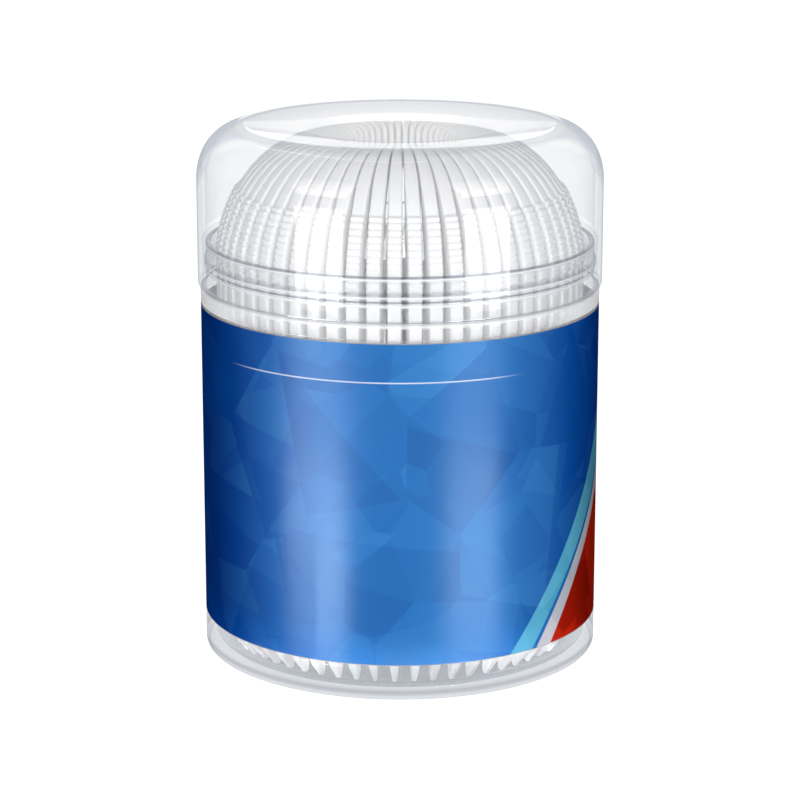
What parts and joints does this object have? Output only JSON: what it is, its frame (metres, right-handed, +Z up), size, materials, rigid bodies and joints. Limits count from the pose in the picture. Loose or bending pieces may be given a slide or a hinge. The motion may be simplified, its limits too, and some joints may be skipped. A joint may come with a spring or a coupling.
{
  "type": "floss pick canister",
  "caption": "Round clear canister with a domed press-fit lid, a printed sleeve and a ring of bow-shaped floss picks standing inside.",
  "frame": {"origin": "middle of the base, on the plane the canister stands on", "axes": "+Z up along the canister's axis, -Y to the front of the printed sleeve"},
  "size_m": [0.0628, 0.0628, 0.0826],
  "materials": {
    "clear_plastic": "clear, glossy, faintly blue-grey at the edges",
    "printed_film": "satin printed film, blue facets with curved stripes and a red corner",
    "white_plastic": "white, satin, slightly translucent"
  },
  "bodies": {
    "canister": {"canister_body": "clear_plastic", "label_sleeve": "printed_film", "pick_02": "white_plastic", "pick_03": "white_plastic", "pick_04": "white_plastic", "pick_05": "white_plastic", "pick_06": "white_plastic", "pick_07": "white_plastic", "pick_08": "white_plastic", "pick_09": "white_plastic", "pick_10": "white_plastic", "pick_11": "white_plastic", "pick_12": "white_plastic", "pick_13": "white_plastic", "pick_14": "white_plastic", "pick_15": "white_plastic", "pick_16": "white_plastic", "pick_17": "white_plastic", "pick_18": "white_plastic", "pick_19": "white_plastic", "pick_20": "white_plastic", "pick_21": "white_plastic", "pick_22": "white_plastic", "pick_23": "white_plastic", "pick_24": "white_plastic", "pick_25": "white_plastic", "pick_26": "white_plastic", "pick_27": "white_plastic", "pick_28": "white_plastic", "pick_29": "white_plastic", "pick_30": "white_plastic", "pick_31": "white_plastic", "pick_32": "white_plastic", "pick_33": "white_plastic", "pick_34": "white_plastic", "pick_35": "white_plastic", "pick_36": "white_plastic", "pick_37": "white_plastic", "pick_38": "white_plastic", "pick_39": "white_plastic", "pick_40": "white_plastic", "pick_41": "white_plastic", "pick_42": "white_plastic", "pick_43": "white_plastic", "pick_44": "white_plastic", "pick_45": "white_plastic", "pick_46": "white_plastic", "pick_47": "white_plastic", "pick_48": "white_plastic", "pick_49": "white_plastic", "pick_50": "white_plastic", "pick_51": "white_plastic", "pick_52": "white_plastic", "pick_53": "white_plastic", "pick_54": "white_plastic", "pick_55": "white_plastic", "pick_56": "white_plastic", "pick_57": "white_plastic"},
    "cap": {"lid": "clear_plastic"},
    "drawn_pick": {"pick_01": "white_plastic"}
  },
  "joints": [
    {"name": "lid_lift", "type": "slide", "parent": "canister", "child": "cap", "axis": [0, 0, 1], "range_m": [0, 0.12]},
    {"name": "pick_lift", "type": "slide", "parent": "canister", "child": "drawn_pick", "axis": [0, 0, 1], "range_m": [0, 0.084]}
  ],
  "couplings": [
    {"joint": "pick_lift", "follows": "lid_lift", "ratio": 0.7}
  ]
}
